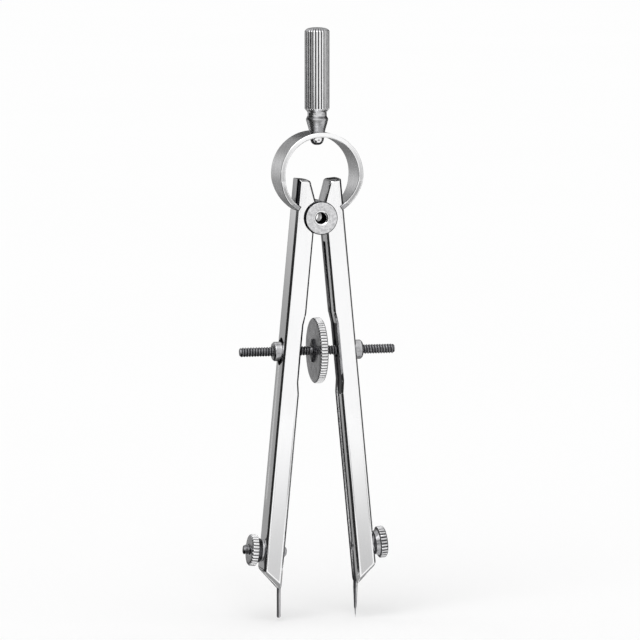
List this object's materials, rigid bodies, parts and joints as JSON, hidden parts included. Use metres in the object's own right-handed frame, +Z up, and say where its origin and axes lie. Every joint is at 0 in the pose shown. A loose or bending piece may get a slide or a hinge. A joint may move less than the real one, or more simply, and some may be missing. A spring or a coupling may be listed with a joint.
{
  "type": "spring bow compass",
  "caption": "Spring bow compass: slotted metal legs rocking on a drilled pivot under a ring spring and fluted handle, set by a centre wheel on a threaded spindle, with clamped lead and needle",
  "frame": {"origin": "middle of the through hole of the pivot, halfway between the two cover discs", "axes": "+Z up through the handle, +Y along the pivot hole towards the back, +X towards the leg that holds the needle"},
  "size_m": [0.0402, 0.0166, 0.1504],
  "materials": {
    "bright_nickel": "bright plated, fine bevelled edges",
    "satin_nickel": "satin plated, fluted or toothed",
    "satin_disc": "satin faced",
    "spring_steel": "plated spring strip with ground edges",
    "turned_steel": "turned and knurled, plated",
    "dark_steel": "dark threaded steel",
    "graphite": "compressed graphite, dull",
    "needle_steel": "ground steel wire"
  },
  "bodies": {
    "head": {"handle": "satin_nickel", "handle_rivet": "satin_nickel", "spring_ring": "spring_steel", "pivot_bush": "bright_nickel", "front_disc": "satin_disc", "rear_disc": "satin_disc"},
    "left_leg": {"left_leg": "bright_nickel", "left_clamp_stud": "dark_steel", "left_clamp_washer": "bright_nickel"},
    "right_leg": {"right_leg": "bright_nickel", "right_clamp_stud": "dark_steel", "right_clamp_washer": "bright_nickel"},
    "left_swivel_nut": {"left_swivel_nut": "turned_steel"},
    "right_swivel_nut": {"right_swivel_nut": "turned_steel"},
    "spindle": {"spindle": "dark_steel"},
    "adjusting_wheel": {"adjusting_wheel": "satin_nickel"},
    "left_clamp_nut": {"left_clamp_nut": "turned_steel"},
    "right_clamp_nut": {"right_clamp_nut": "turned_steel"},
    "lead": {"lead": "graphite"},
    "needle": {"needle": "needle_steel"}
  },
  "joints": [
    {"name": "left_leg_swing", "type": "hinge", "parent": "head", "child": "left_leg", "pos_m": [0, 0, 0], "axis": [0, 1, 0], "range_deg": [-5, 12], "deforming": ["spring_ring"]},
    {"name": "right_leg_swing", "type": "hinge", "parent": "head", "child": "right_leg", "pos_m": [0, 0, 0], "axis": [0, -1, 0], "range_deg": [-5, 12], "deforming": ["spring_ring"]},
    {"name": "left_nut_swivel", "type": "hinge", "parent": "left_leg", "child": "left_swivel_nut", "pos_m": [-0.00958, 0, -0.0339], "axis": [0, -1, 0], "range_deg": [-5, 12]},
    {"name": "right_nut_swivel", "type": "hinge", "parent": "right_leg", "child": "right_swivel_nut", "pos_m": [0.00958, 0, -0.0339], "axis": [0, 1, 0], "range_deg": [-5, 12]},
    {"name": "spindle_travel", "type": "slide", "parent": "left_swivel_nut", "child": "spindle", "axis": [1, 0, 0], "range_m": [-0.003, 0.007]},
    {"name": "wheel_spin", "type": "hinge", "parent": "spindle", "child": "adjusting_wheel", "pos_m": [0, 0, -0.0339], "axis": [1, 0, 0], "range_deg": [-1485, 3560]},
    {"name": "left_clamp_turn", "type": "hinge", "parent": "left_leg", "child": "left_clamp_nut", "pos_m": [-0.01594, 0, -0.08438], "axis": [-0.9956, 0, 0.0932], "range_deg": [0, 540]},
    {"name": "right_clamp_turn", "type": "hinge", "parent": "right_leg", "child": "right_clamp_nut", "pos_m": [0.01585, 0, -0.08349], "axis": [0.9956, 0, 0.0932], "range_deg": [0, 540]},
    {"name": "lead_slide", "type": "slide", "parent": "left_leg", "child": "lead", "axis": [0, 0, -1], "range_m": [-0.003, 0.002]},
    {"name": "needle_slide", "type": "slide", "parent": "right_leg", "child": "needle", "axis": [0, 0, -1], "range_m": [-0.003, 0.002]}
  ],
  "couplings": [
    {"joint": "right_leg_swing", "follows": "left_leg_swing", "ratio": 1},
    {"joint": "left_nut_swivel", "follows": "left_leg_swing", "ratio": 1},
    {"joint": "right_nut_swivel", "follows": "left_leg_swing", "ratio": 1},
    {"joint": "spindle_travel", "follows": "left_leg_swing", "m_per_rad": 0.033},
    {"joint": "wheel_spin", "follows": "left_leg_swing", "ratio": 296.21}
  ]
}
